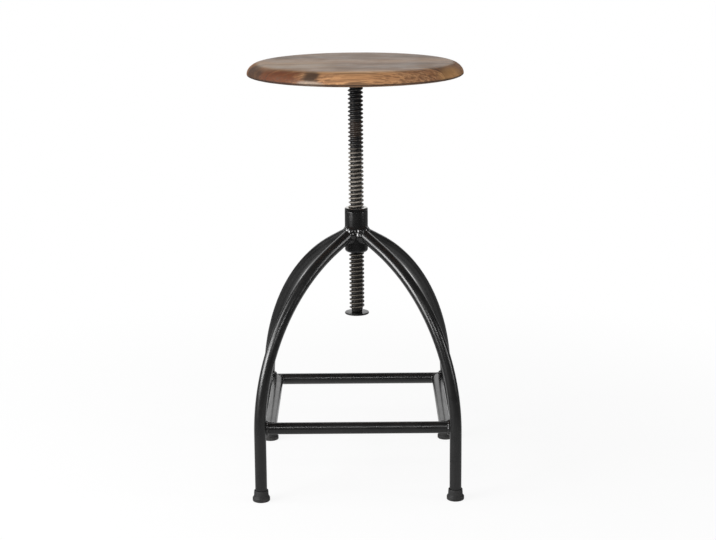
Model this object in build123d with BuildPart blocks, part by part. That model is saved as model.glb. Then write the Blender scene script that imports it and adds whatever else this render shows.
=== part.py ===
"""Screw stool: a round plank seat on a threaded spindle, in a four-legged tube frame.

The seat turns on the spindle, and the thread in the hub raises or lowers it as it turns.
Millimetres, +Z up, X to the sitter's right, front at -Y, origin on the floor under the spindle.
"""

import os
from math import cos, pi, radians, sin, sqrt

from build123d import *

# Seat
seat_diameter = 350.0
seat_thickness = 22.5
seat_round_width = 26.0  # the top edge is rounded over this far in from the rim
seat_round_drop = 18.0  # and this far down, which leaves the widest line just above the underside
seat_under_width = 12.0  # the lower edge is rounded under this far in from the rim
board_count = 5
seat_lift = 216.0  # seat underside above the hub, as photographed

# Steel plate under the seat, and the wood screws through it
plate_diameter = 150.0
plate_thickness = 5.0
screw_count = 6
screw_circle = 110.0
screw_shank = 4.5
screw_head = 9.0
screw_length = 20.0
screw_tip = 3.0
screw_fit = 0.1

# Threaded spindle
thread_pitch = 6.8
thread_crest = 25.0
thread_root = 18.0
crest_width = 1.4
base_width = 5.4
thread_turns = 55
shoulder_diameter = 24.0
shoulder_length = 8.9
tail_length = 4.0
spigot_diameter = 16.0
spigot_fit = 0.1
plate_weld_leg = 5.0
plate_weld_radius = 10.0

# Loose stop washer and the bolt that traps it
washer_diameter = 40.0
washer_thickness = 3.0
washer_round = 1.0
washer_play = 0.3
bolt_diameter = 10.0
bolt_hole_play = 0.4
bolt_head = 16.0
bolt_head_height = 2.4
bolt_head_chamfer = 0.6
bolt_reach = 22.0
bolt_fit = 0.1

# Hub sleeve and its threaded bush
hub_diameter = 38.0
hub_height = 74.0
hub_below_legs = 38.5  # hub bottom below the point where the leg centrelines meet
hub_bottom_round = 5.0
bush_diameter = 31.0
bush_length = 45.0
bush_flange = 5.0
bush_chamfer = 1.5
bush_fit = 0.1
thread_clearance = 0.5
spindle_clearance = 0.8
lead_in_depth = 14.0
lead_in_clearance = 0.6

# Legs and footrest, all of the same tube
tube_diameter = 19.0
tube_wall = 1.5
leg_spacing = 312.0
leg_slope = 27.0
leg_bend_radius = 308.0
leg_bend_height = 112.5
footrest_height = 116.0
footrest_bite = 0.4  # how far the footrest corners are notched into the legs
footrest_end_wall = 3.0
joint_gap = 0.15
hub_weld = 2.6
footrest_weld = 2.2
footrest_side_weld = 1.8  # the beads lie a little lower on the notched bars

# Rubber feet
foot_height = 18.0
foot_floor = 4.0
foot_top_diameter = 22.8
foot_waist_diameter = 23.8
foot_waist_height = 9.0
foot_base_diameter = 28.0
foot_base_height = 6.0
foot_base_edge = 1.5
foot_top_edge = 0.8
foot_fit = 0.1

# Heights and radii that follow from the sizes above
tube_radius = tube_diameter / 2
leg_radius = leg_spacing / 2 * sqrt(2)
leg_straight = (leg_radius - leg_bend_radius * (1 - sin(radians(leg_slope)))) / cos(radians(leg_slope))
leg_axis_height = (
    leg_bend_height
    + leg_bend_radius * cos(radians(leg_slope))
    + leg_straight * sin(radians(leg_slope))
)
hub_radius = hub_diameter / 2
hub_bottom = leg_axis_height - hub_below_legs
hub_top = hub_bottom + hub_height
seat_underside = hub_top + seat_lift
plate_bottom = seat_underside - plate_thickness
thread_top = plate_bottom - shoulder_length
thread_bottom = thread_top - thread_turns * thread_pitch
spindle_bottom = thread_bottom - tail_length
washer_top = spindle_bottom - washer_play
washer_bottom = washer_top - washer_thickness
bolt_head_top = washer_bottom - washer_play
footrest_half = leg_spacing / 2 - tube_radius * (1 + sqrt(0.5)) + footrest_bite

from_bottom = (Align.CENTER, Align.CENTER, Align.MIN)
corners = {
    "front_left": 225,
    "front_right": 315,
    "back_left": 135,
    "back_right": 45,
}
sides = {"left": -1, "right": 1}
ends = {"front": -1, "back": 1}


def radial_plane(x=0.0, y=0.0):
    """Upright plane through the vertical at (x, y): sketch x is the radius, sketch y the height."""
    return Plane(origin=(x, y, 0), x_dir=(1, 0, 0), z_dir=(0, -1, 0))


def leg_start(angle):
    """Plane square to a leg where its centreline leaves the spindle's axis."""
    turn = radians(angle)
    slope = radians(leg_slope)
    heading = (cos(slope) * cos(turn), cos(slope) * sin(turn), -sin(slope))
    return Plane(origin=(0, 0, leg_axis_height), z_dir=heading)


def leg_rod(angle, radius):
    """Round rod along a leg: sloping down from the hub, bent to the vertical, then to the foot."""
    turn = radians(angle)
    upright = Plane(origin=(0, 0, 0), x_dir=(cos(turn), sin(turn), 0), z_dir=(sin(turn), -cos(turn), 0))
    with BuildPart() as rod:
        with BuildLine(upright) as centreline:
            shank = PolarLine((0, leg_axis_height), leg_straight, -leg_slope)
            bend = JernArc(shank @ 1, shank % 1, leg_bend_radius, leg_slope - 90)
            Line(bend @ 1, (leg_radius, foot_floor))
        with BuildSketch(leg_start(angle)):
            Circle(radius)
        sweep(path=centreline.line)
    return rod.part


def leg_root(angle, radius):
    """Straight round rod along the upper end of a leg, out through the hub's side."""
    with BuildPart() as rod:
        with BuildSketch(leg_start(angle)):
            Circle(radius)
        extrude(amount=hub_diameter)
    return rod.part


def leg_post(angle, radius):
    """Upright rod round the lower end of a leg, from the floor past the footrest."""
    with BuildPart() as post:
        with Locations((leg_radius * cos(radians(angle)), leg_radius * sin(radians(angle)), 0)):
            Cylinder(radius, footrest_height + tube_diameter, align=from_bottom)
    return post.part


def cross_rod(start, direction, radius, length):
    """Straight round rod at footrest height."""
    with BuildPart() as rod:
        with BuildSketch(Plane(origin=(*start, footrest_height), z_dir=direction)):
            Circle(radius)
        extrude(amount=length)
    return rod.part


def end_rod(end, radius, spare=0.0):
    """Rod along the front or back of the footrest, outside to outside, less what is spared at each end."""
    half = footrest_half + tube_radius - spare
    return cross_rod((-half, end * footrest_half), (1, 0, 0), radius, 2 * half)


def side_rod(side, radius):
    """Rod along one side of the footrest, from front to back."""
    return cross_rod((side * footrest_half, -footrest_half), (0, 1, 0), radius, 2 * footrest_half)


def hub_post(radius):
    """Upright cylinder as tall as the hub."""
    with BuildPart() as post:
        with Locations((0, 0, hub_bottom)):
            Cylinder(radius, hub_height, align=from_bottom)
    return post.part


def thread_rod(bottom, turns, clearance=0.0):
    """Right-hand threaded rod of whole turns. Its section square to the axis is a root arc and a
    crest arc joined by two flanks. That section twists once per pitch, and the walls of one such
    turn are stacked up between two end faces. A clearance swells the rod on every side."""
    root = thread_root / 2 + clearance
    crest = thread_crest / 2 + clearance
    flank_rise = 2 * (crest - root) / (base_width - crest_width)
    widening = 2 * clearance * (sqrt(1 + flank_rise**2) - 1) / flank_rise
    base_angle = 180 * (base_width + widening) / thread_pitch
    crest_angle = 180 * (crest_width + widening) / thread_pitch

    def at(radius, angle):
        return (radius * cos(radians(angle)), radius * sin(radians(angle)))

    def flank(side):
        middle = at((root + crest) / 2, side * (base_angle + crest_angle) / 2)
        return ThreePointArc(at(root, side * base_angle), middle, at(crest, side * crest_angle))

    guide = Edge.make_helix(thread_pitch, thread_pitch, thread_crest, center=(0, 0, bottom))
    with BuildPart() as turn:
        with BuildLine() as spine:
            Line((0, 0, bottom), (0, 0, bottom + thread_pitch))
        with BuildSketch(Plane.XY.offset(bottom)):
            with BuildLine():
                ThreePointArc(at(root, base_angle), at(root, 180), at(root, -base_angle))
                flank(-1)
                ThreePointArc(at(crest, -crest_angle), at(crest, 0), at(crest, crest_angle))
                flank(1)
            make_face()
        sweep(path=spine.line, binormal=guide)
    lower_end, upper_end = turn.faces().filter_by(GeomType.PLANE).sort_by(Axis.Z)
    walls = turn.faces().filter_by(GeomType.PLANE, reverse=True)
    skin = [wall.moved(Pos(0, 0, i * thread_pitch)) for i in range(turns) for wall in walls]
    skin += [lower_end, upper_end.moved(Pos(0, 0, (turns - 1) * thread_pitch))]
    return Solid(Shell(skin))


def save(part, name):
    """Label a finished piece and write it under its own name."""
    part.label = name
    export_step(part, f"parts/{name}.step")


os.makedirs("parts", exist_ok=True)

# Seat boards: planks edge-glued side by side, turned to one round seat
board_width = seat_diameter / board_count
screw_pilot = screw_length - plate_thickness
for number in range(board_count):
    with BuildPart() as board:
        with BuildSketch(radial_plane()):
            with BuildLine():
                rim = seat_diameter / 2
                seat_top = seat_underside + seat_thickness
                widest = seat_top - seat_round_drop
                under = rim - seat_under_width
                flat = rim - seat_round_width
                Polyline((flat, seat_top), (0, seat_top), (0, seat_underside), (under, seat_underside))
                EllipticalCenterArc((under, widest), seat_under_width, widest - seat_underside, 270)
                EllipticalCenterArc((flat, widest), seat_round_width, seat_round_drop)
            make_face()
        revolve(axis=Axis.Z)
        with Locations((0, board_width * (number + 0.5) - seat_diameter / 2, seat_underside)):
            Box(seat_diameter, board_width, seat_thickness, align=from_bottom, mode=Mode.INTERSECT)
        with Locations((0, 0, seat_underside)):
            with PolarLocations(screw_circle / 2, screw_count):
                Cylinder(
                    screw_shank / 2 + screw_fit,
                    screw_pilot + screw_fit,
                    align=from_bottom,
                    mode=Mode.SUBTRACT,
                )
    save(board.part, f"seat_board_{number + 1}")

# Seat plate: a steel disc screwed to the underside, drilled for the spindle's spigot
head_depth = (screw_head - screw_shank) / 2
with BuildPart() as seat_plate:
    with Locations((0, 0, plate_bottom)):
        Cylinder(plate_diameter / 2, plate_thickness, align=from_bottom)
        Cylinder(spigot_diameter / 2 + spigot_fit, plate_thickness, align=from_bottom, mode=Mode.SUBTRACT)
        with PolarLocations(screw_circle / 2, screw_count):
            Cylinder(screw_shank / 2 + screw_fit, plate_thickness, align=from_bottom, mode=Mode.SUBTRACT)
            Cone(
                screw_head / 2 + screw_fit,
                screw_shank / 2 + screw_fit,
                head_depth,
                align=from_bottom,
                mode=Mode.SUBTRACT,
            )
save(seat_plate.part, "seat_plate")

# Wood screws: countersunk heads flush with the plate, pointed ends in the boards
with BuildPart() as screw:
    with BuildSketch(radial_plane()):
        Polygon(
            (0, plate_bottom),
            (screw_head / 2, plate_bottom),
            (screw_shank / 2, plate_bottom + head_depth),
            (screw_shank / 2, plate_bottom + screw_length - screw_tip),
            (0, plate_bottom + screw_length),
            align=None,
        )
    revolve(axis=Axis.Z)
with BuildPart() as seat_screws:
    with PolarLocations(screw_circle / 2, screw_count):
        add(screw.part)
save(seat_screws.part, "seat_screws")

# Spindle: threaded from tail to shoulder, with a spigot in the plate and a tapped lower end
with BuildPart() as spindle:
    add(thread_rod(thread_bottom, thread_turns))
    with Locations((0, 0, spindle_bottom)):
        Cylinder(thread_root / 2, tail_length, align=from_bottom)
        Cylinder(bolt_diameter / 2 + bolt_fit, bolt_reach + bolt_fit, align=from_bottom, mode=Mode.SUBTRACT)
    with Locations((0, 0, thread_top)):
        Cylinder(shoulder_diameter / 2, shoulder_length, align=from_bottom)
    with Locations((0, 0, plate_bottom)):
        Cylinder(spigot_diameter / 2, plate_thickness, align=from_bottom)
save(spindle.part, "screw_spindle")

# Fillet weld round the spindle's shoulder, under the plate
with BuildPart() as plate_weld:
    with BuildSketch(radial_plane()):
        with BuildLine():
            inner = (shoulder_diameter / 2, plate_bottom - plate_weld_leg)
            outer = (shoulder_diameter / 2 + plate_weld_leg, plate_bottom)
            Line(outer, (shoulder_diameter / 2, plate_bottom))
            Line((shoulder_diameter / 2, plate_bottom), inner)
            RadiusArc(inner, outer, -plate_weld_radius)
        make_face()
    revolve(axis=Axis.Z)
save(plate_weld.part, "plate_weld")

# Stop washer: a loose disc under the spindle that meets the hub at the top of the travel
with BuildPart() as stop_washer:
    with Locations((0, 0, washer_bottom)):
        Cylinder(washer_diameter / 2, washer_thickness, align=from_bottom)
        Cylinder(bolt_diameter / 2 + bolt_hole_play, washer_thickness, align=from_bottom, mode=Mode.SUBTRACT)
    rims = stop_washer.edges().filter_by(GeomType.CIRCLE).sort_by(SortBy.RADIUS)[-2:]
    fillet(rims, washer_round)
save(stop_washer.part, "stop_washer")

# Stop bolt: a low head under the washer, its shank screwed into the spindle
with BuildPart() as stop_bolt:
    with Locations((0, 0, bolt_head_top)):
        Cylinder(bolt_head / 2, bolt_head_height, align=(Align.CENTER, Align.CENTER, Align.MAX))
        Cylinder(bolt_diameter / 2, spindle_bottom + bolt_reach - bolt_head_top, align=from_bottom)
    chamfer(stop_bolt.edges().sort_by(Axis.Z)[0], bolt_head_chamfer)
save(stop_bolt.part, "stop_bolt")

# Hub sleeve: a thick round sleeve, bored wide for the bush and narrower below it
sleeve_height = hub_height - bush_flange
bush_bottom = hub_top - bush_length
passage = thread_crest / 2 + spindle_clearance
with BuildPart() as hub_sleeve:
    with Locations((0, 0, hub_bottom)):
        Cylinder(hub_radius, sleeve_height, align=from_bottom)
    lowest_rim = hub_sleeve.edges().filter_by(GeomType.CIRCLE).sort_by(Axis.Z)[0]
    fillet(lowest_rim, hub_bottom_round)
    with Locations((0, 0, hub_bottom)):
        Cylinder(passage, sleeve_height, align=from_bottom, mode=Mode.SUBTRACT)
    with Locations((0, 0, bush_bottom)):
        Cylinder(
            bush_diameter / 2 + bush_fit,
            bush_length - bush_flange,
            align=from_bottom,
            mode=Mode.SUBTRACT,
        )
save(hub_sleeve.part, "hub_sleeve")

# Threaded bush: flanged on top of the sleeve, threaded below a plain lead-in
turns_below_bush = int((bush_bottom - thread_bottom) / thread_pitch) - 1
tap_bottom = thread_bottom + turns_below_bush * thread_pitch
lead_in_bottom = hub_top - lead_in_depth
tap_turns = int((lead_in_bottom - tap_bottom) / thread_pitch) + 1
with BuildPart() as hub_bush:
    with Locations((0, 0, bush_bottom)):
        Cylinder(bush_diameter / 2, bush_length, align=from_bottom)
    with Locations((0, 0, hub_top - bush_flange)):
        Cylinder(hub_radius, bush_flange, align=from_bottom)
    top_rim = hub_bush.edges().filter_by(GeomType.CIRCLE).sort_by(Axis.Z)[-1]
    chamfer(top_rim, bush_chamfer)
    with Locations((0, 0, lead_in_bottom)):
        Cylinder(thread_crest / 2 + lead_in_clearance, lead_in_depth, align=from_bottom, mode=Mode.SUBTRACT)
    add(thread_rod(tap_bottom, tap_turns, thread_clearance), mode=Mode.SUBTRACT)
save(hub_bush.part, "hub_bush")

# Legs: bent tubes, notched to the hub, their lower ends in the feet
for name, angle in corners.items():
    with BuildPart() as leg:
        add(leg_rod(angle, tube_radius))
        add(leg_rod(angle, tube_radius - tube_wall), mode=Mode.SUBTRACT)
        add(hub_post(hub_radius + joint_gap), mode=Mode.SUBTRACT)
    save(leg.part, f"leg_{name}")

# Footrest front and back: straight tubes with closed ends, notched where their corners meet the legs
for name, end in ends.items():
    with BuildPart() as bar:
        add(end_rod(end, tube_radius))
        add(end_rod(end, tube_radius - tube_wall, spare=footrest_end_wall), mode=Mode.SUBTRACT)
        for angle in corners.values():
            add(leg_rod(angle, tube_radius + joint_gap), mode=Mode.SUBTRACT)
    save(bar.part, f"footrest_{name}")

# Footrest sides: straight tubes notched to the front and back
for name, side in sides.items():
    with BuildPart() as bar:
        add(side_rod(side, tube_radius))
        add(side_rod(side, tube_radius - tube_wall), mode=Mode.SUBTRACT)
        for end in ends.values():
            add(end_rod(end, tube_radius + joint_gap), mode=Mode.SUBTRACT)
    save(bar.part, f"footrest_{name}")

# Hub welds: a bead round the root of each leg
rings = []
for angle in corners.values():
    with BuildPart() as ring:
        add(leg_root(angle, tube_radius + hub_weld))
        add(hub_post(hub_radius + hub_weld), mode=Mode.INTERSECT)
        add(hub_post(hub_radius), mode=Mode.SUBTRACT)
        add(leg_root(angle, tube_radius), mode=Mode.SUBTRACT)
    rings.append(ring.part)
with BuildPart() as hub_welds:
    for ring in rings:
        add(ring)
save(hub_welds.part, "hub_welds")

# Footrest welds: at each corner, beads where the bars meet each other and the leg
beads = []
for angle in corners.values():
    side = 1 if cos(radians(angle)) > 0 else -1
    end = 1 if sin(radians(angle)) > 0 else -1
    swollen_end = end_rod(end, tube_radius + footrest_weld, spare=-footrest_weld)
    with BuildPart() as bar_bead:
        add(swollen_end)
        add(side_rod(side, tube_radius + footrest_side_weld), mode=Mode.INTERSECT)
    with BuildPart() as leg_bead:
        add(swollen_end)
        add(leg_post(angle, tube_radius + footrest_weld), mode=Mode.INTERSECT)
    with BuildPart() as bead:
        add(bar_bead.part)
        add(leg_bead.part)
        add(end_rod(end, tube_radius), mode=Mode.SUBTRACT)
        add(side_rod(side, tube_radius), mode=Mode.SUBTRACT)
        add(leg_rod(angle, tube_radius), mode=Mode.SUBTRACT)
    beads.append(bead.part)
with BuildPart() as footrest_welds:
    for bead in beads:
        add(bead)
save(footrest_welds.part, "footrest_welds")

# Feet: moulded rubber cups, flared at the base, pushed onto the legs
for name, angle in corners.items():
    foot_x = leg_radius * cos(radians(angle))
    foot_y = leg_radius * sin(radians(angle))
    with BuildPart() as foot:
        with BuildSketch(radial_plane(foot_x, foot_y)):
            with BuildLine():
                socket = tube_radius + foot_fit
                Polyline(
                    (0, foot_floor),
                    (0, 0),
                    (foot_base_diameter / 2 - foot_base_edge, 0),
                    (foot_base_diameter / 2, foot_base_edge),
                    (foot_base_diameter / 2, foot_base_height),
                    (foot_waist_diameter / 2, foot_waist_height),
                    (foot_top_diameter / 2, foot_height - foot_top_edge),
                    (foot_top_diameter / 2 - foot_top_edge, foot_height),
                    (socket, foot_height),
                    (socket, foot_floor),
                    close=True,
                )
            make_face()
        revolve(axis=Axis((foot_x, foot_y, 0), (0, 0, 1)))
    save(foot.part, f"foot_{name}")

travel_up = hub_bottom - washer_top
travel_down = plate_bottom - plate_weld_leg - hub_top
print(f"seat top {seat_underside + seat_thickness:.2f}, hub {hub_bottom:.2f} to {hub_top:.2f}")
print(f"washer {washer_bottom:.2f} to {washer_top:.2f}, thread {thread_bottom:.2f} to {thread_top:.2f}")
print(f"seat can rise {travel_up:.2f} and sink {travel_down:.2f} before metal meets metal")
print(f"lift per radian of turn {thread_pitch / (2 * pi):.6f}")
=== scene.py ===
from math import cos, pi, radians, sin

import bpy
import numpy as np
from mathutils import Matrix, Vector


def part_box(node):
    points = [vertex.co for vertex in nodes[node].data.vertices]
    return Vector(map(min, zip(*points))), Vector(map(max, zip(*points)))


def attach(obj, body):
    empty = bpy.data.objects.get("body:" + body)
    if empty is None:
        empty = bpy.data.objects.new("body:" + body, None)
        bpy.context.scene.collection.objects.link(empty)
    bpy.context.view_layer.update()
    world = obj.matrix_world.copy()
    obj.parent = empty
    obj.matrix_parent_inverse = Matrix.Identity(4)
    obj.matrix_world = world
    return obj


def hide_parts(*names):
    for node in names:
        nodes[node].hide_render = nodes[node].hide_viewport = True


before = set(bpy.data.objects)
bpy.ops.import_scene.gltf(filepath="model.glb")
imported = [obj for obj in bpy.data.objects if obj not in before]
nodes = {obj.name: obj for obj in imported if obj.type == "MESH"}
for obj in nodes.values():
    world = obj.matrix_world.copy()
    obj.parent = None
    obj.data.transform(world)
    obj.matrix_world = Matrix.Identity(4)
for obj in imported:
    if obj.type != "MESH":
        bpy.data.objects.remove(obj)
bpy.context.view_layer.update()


# Hub sleeve: a thick steel sleeve turned to size, its lower edge rounded over.
# It is sprayed black with the rest of the frame and carries the four legs.
hub_radius = 0.0190
hub_edge = 0.0050
hub_lip = 0.0012
hub_bore = 0.0133
hub_low, hub_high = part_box("hub_sleeve")
enamel_polished = (0.0040, 0.0040, 0.0042, 1)
enamel_dusty = (0.0072, 0.0070, 0.0069, 1)
primer_grey = (0.060, 0.058, 0.055, 1)
scuff_grey = (0.04, 0.038, 0.036, 1)
rubbed_steel = (0.52, 0.50, 0.47, 1)
rub_fade = 0.0003
peel_height = 0.00003
chip_depth = 0.00006


def arc(centre, radius, start, end, count):
    """Points (r, z) on a circle round centre from the start angle to the end angle, in degrees."""
    turn = np.radians(np.linspace(start, end, count))
    return np.stack([centre[0] + radius * np.cos(turn), centre[1] + radius * np.sin(turn)], 1)


def turned(profile, steps=96, x=0.0, y=0.0):
    """A profile of (r, z) turned round the upright line at (x, y): each point gives a ring
    (x + r cos t, y + r sin t, z) for t from 0 to a full turn."""
    turn = np.linspace(0, 2 * pi, steps, endpoint=False)
    r, z = np.asarray(profile).T
    ring = np.stack([np.outer(r, np.cos(turn)) + x, np.outer(r, np.sin(turn)) + y], 2)
    return np.concatenate([ring, np.repeat(z[:, None, None], steps, 1)], 2)


def skin(name, rows, ends="capped", crease=40, **marks):
    """One closed surface over a grid of points: rows[i, j] follows rows[i, j - 1] round a ring and
    rows[i - 1, j] along the piece. The two end rings are capped, or joined to each other.
    Where the enclosed volume, the sum of a . (b x c + c x d) over the faces, is negative, they are
    turned round. A mark is a value for each point, or one for the whole piece."""
    count, steps = rows.shape[:2]
    here = np.arange(count * steps).reshape(count, steps)
    last = count if ends == "joined" else count - 1
    this = here[:last]
    after = np.roll(here, -1, 0)[:last]
    quads = np.stack([this, np.roll(this, -1, 1), np.roll(after, -1, 1), after], 2).reshape(-1, 4)
    caps = [here[0, ::-1], here[-1]] if ends == "capped" else []
    points = rows.reshape(-1, 3)
    a, b, c, d = np.moveaxis(points[quads] - points.mean(0), 1, 0)
    volume = np.einsum("ij,ij->", a, np.cross(b, c) + np.cross(c, d))
    order = -1 if volume < 0 else 1
    faces = quads[:, ::order].tolist() + [cap[::order].tolist() for cap in caps]
    mesh = bpy.data.meshes.new(name)
    mesh.from_pydata(points.tolist(), [], faces)
    mesh.polygons.foreach_set("use_smooth", np.ones(len(faces), bool))
    mesh.set_sharp_from_angle(angle=radians(crease))
    for label, value in marks.items():
        value = np.asarray(value, float)
        if value.shape == (3,):
            spread = np.broadcast_to(value, (len(points), 3))
            mesh.attributes.new(label, "FLOAT_VECTOR", "POINT").data.foreach_set("vector", spread.ravel())
        else:
            spread = np.broadcast_to(value, rows.shape[:2])
            mesh.attributes.new(label, "FLOAT", "POINT").data.foreach_set("value", spread.ravel())
    mesh.update()
    piece = bpy.data.objects.new(name, mesh)
    bpy.context.scene.collection.objects.link(piece)
    return piece


def coat(piece, material):
    """Give a piece one material all over."""
    piece.data.materials.clear()
    piece.data.materials.append(material)


def fit(piece, body, slot, material, *replaced):
    """Finish a piece: its material, the body it moves with, the nodes it stands for; the slot argument is
    not used.
    """
    coat(piece, material)
    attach(piece, body)
    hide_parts(*replaced)


class Finish:
    """A material, or the studio's surround, under construction: its data block, its node tree, its
    shader, and the coordinates of a place on it."""

    def __init__(self, block, shader="Principled BSDF", coordinates="Object"):
        block.use_nodes = True
        self.block = block
        self.tree = block.node_tree
        self.surface = self.tree.nodes[shader]
        self.place = self.node("ShaderNodeTexCoord").outputs[coordinates]

    def plug(self, socket, value):
        """Link a socket to another node's output, or set it to a value."""
        if isinstance(value, bpy.types.NodeSocket):
            self.tree.links.new(value, socket)
        else:
            socket.default_value = value

    def node(self, kind, sockets=None, **settings):
        """Add a node with its settings, and plug what is given into its sockets."""
        made = self.tree.nodes.new(kind)
        for key, value in settings.items():
            setattr(made, key, value)
        for key, value in (sockets or {}).items():
            self.plug(made.inputs[key], value)
        return made

    def set(self, **sockets):
        """Plug what is given into the shader; an underscore in a socket's name stands for a space."""
        for key, value in sockets.items():
            self.plug(self.surface.inputs[key.replace("_", " ")], value)

    def axis(self, name):
        """One coordinate of the place."""
        return self.node("ShaderNodeSeparateXYZ", {0: self.place}).outputs[name]

    def math(self, operation, first, second=0.0):
        """One arithmetic step."""
        return self.node("ShaderNodeMath", {0: first, 1: second}, operation=operation).outputs[0]

    def vector(self, operation, first, second=(0, 0, 0)):
        """One arithmetic step on vectors; a length comes out as a number."""
        step = self.node("ShaderNodeVectorMath", {0: first, 1: second}, operation=operation)
        return step.outputs["Value" if operation == "LENGTH" else "Vector"]

    def noise(self, place, scale, detail=3.0, rough=0.5, warp=0.0):
        """Soft random field from 0 to 1; three scales stretch it along the axes."""
        if isinstance(scale, tuple):
            place = self.vector("MULTIPLY", place, scale)
            scale = 1.0
        sockets = {"Vector": place, "Scale": scale, "Detail": detail, "Roughness": rough}
        sockets["Distortion"] = warp
        return self.node("ShaderNodeTexNoise", sockets).outputs["Fac"]

    def ramp(self, value, low, high, start=0.0, end=1.0, smooth=True):
        """Carry a value from low..high to start..end, held at both ends."""
        sockets = {"Value": value, "From Min": low, "From Max": high, "To Min": start, "To Max": end}
        kind = "SMOOTHSTEP" if smooth else "LINEAR"
        return self.node("ShaderNodeMapRange", sockets, interpolation_type=kind).outputs["Result"]

    def mix(self, amount, first, second):
        """Blend of two colours."""
        return self.node("ShaderNodeMix", {0: amount, 6: first, 7: second}, data_type="RGBA").outputs[2]

    def over(self, colour, mask, strength, shade):
        """A shade laid over a colour where the mask is 1, at the given strength."""
        return self.mix(self.math("MULTIPLY", mask, strength), colour, shade)

    def bump(self, height, distance, strength, under=None):
        """Surface relief of the given height in metres; a relief under it is kept."""
        sockets = {"Height": height, "Distance": distance, "Strength": strength}
        if under is not None:
            sockets["Normal"] = under
        return self.node("ShaderNodeBump", sockets).outputs["Normal"]


def black_paint(name, rough, shine=0.8, scuff_low=None, scuff_high=None, bare_above=None):
    """Sprayed black enamel: a faint orange peel, dusty and polished patches, fine chips to grey primer.
    Between the scuff heights shoes have dulled and greyed it; above the bare height it is rubbed
    to steel."""
    paint = Finish(bpy.data.materials.new(name))
    patches = paint.noise(paint.place, 28.0, 5.0, 0.6)
    peel = paint.noise(paint.place, 380.0, 2.0)
    chips = paint.ramp(paint.noise(paint.place, 210.0, 4.0, 0.62), 0.755, 0.785)
    colour = paint.mix(paint.ramp(patches, 0.3, 0.7), enamel_polished, enamel_dusty)
    colour = paint.over(colour, chips, 0.5, primer_grey)
    roughness = paint.ramp(patches, 0.25, 0.75, rough - 0.03, rough + 0.06)
    if scuff_low is not None:
        worn = paint.ramp(paint.axis("Z"), scuff_low, scuff_high)
        streaks = paint.ramp(paint.noise(paint.place, (60, 60, 300), 5.0, 0.7), 0.52, 0.74)
        worn = paint.math("MULTIPLY", worn, streaks)
        colour = paint.over(colour, worn, 0.2, scuff_grey)
        roughness = paint.math("ADD", roughness, paint.math("MULTIPLY", worn, 0.04))
    if bare_above is not None:
        bare = paint.ramp(paint.axis("Z"), bare_above, bare_above + rub_fade)
        bare = paint.math("MULTIPLY", bare, paint.ramp(patches, 0.25, 0.45, 0.55, 1.0))
        colour = paint.mix(bare, colour, rubbed_steel)
        paint.set(Metallic=paint.math("MULTIPLY", bare, 0.9))
    relief = paint.bump(peel, peel_height, 0.08)
    relief = paint.bump(chips, chip_depth, -0.12, relief)
    paint.set(Base_Color=colour, Roughness=roughness, Normal=relief, IOR=1.5, Specular_IOR_Level=shine)
    return paint.block


hub_paint = black_paint("hub_paint", 0.23, 0.65)
sleeve_profile = np.concatenate([
    [(hub_bore, hub_high.z), (hub_bore, hub_low.z)],
    arc((hub_radius - hub_edge, hub_low.z + hub_edge), hub_edge, -90, 0, 14),
    arc((hub_radius - hub_lip, hub_high.z - hub_lip), hub_lip, 0, 90, 5),
])
hub_sleeve = skin("hub_sleeve_turned", turned(sleeve_profile), "joined")
fit(hub_sleeve, "frame", "hub_paint", hub_paint, "hub_sleeve")


# Threaded bush: a flanged steel nut pressed into the sleeve, its bevelled flange showing on top.
# It is painted with the hub and rubbed bright on top; the part's own solid keeps its tapped bore.
bush_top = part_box("hub_bush")[1].z
bush_rub = 0.0004
coat(nodes["hub_bush"], black_paint("bush_paint", 0.12, bare_above=bush_top - bush_rub))


# Legs: four round steel tubes, straight from the hub, then bent in one sweep to the vertical.
# Their upper ends are notched to the sleeve and their lower ends stand in the feet.
tube_radius = 0.0095
leg_spacing = 0.312
leg_slope = radians(27.0)
leg_bend = 0.308
leg_bend_height = 0.1125
leg_reach = leg_spacing / 2 * np.sqrt(2)
leg_straight = (leg_reach - leg_bend * (1 - sin(leg_slope))) / cos(leg_slope)
leg_top = leg_bend_height + leg_bend * cos(leg_slope) + leg_straight * sin(leg_slope)
leg_end = 0.0041
leg_sunk = 0.0006
corners = {"front_left": 225, "front_right": 315, "back_left": 135, "back_right": 45}
frame_paint = black_paint("frame_paint", 0.27)


def leg_frame(angle):
    """Unit vectors of a leg: outward, sideways, and up."""
    turn = radians(angle)
    out = np.array([cos(turn), sin(turn), 0])
    aside = np.array([-sin(turn), cos(turn), 0])
    return out, aside, np.array([0, 0, 1.0])


def notch(radius, meets, round_leg):
    """Distance along a leg's axis at which its side line at each angle meets an upright cylinder:
    (sqrt(R^2 - (r cos a)^2) - r sin a sin s) / cos s for slope s."""
    across = radius * np.cos(round_leg)
    rise = radius * np.sin(round_leg) * sin(leg_slope)
    return (np.sqrt(meets**2 - across**2) - rise) / cos(leg_slope)


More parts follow.
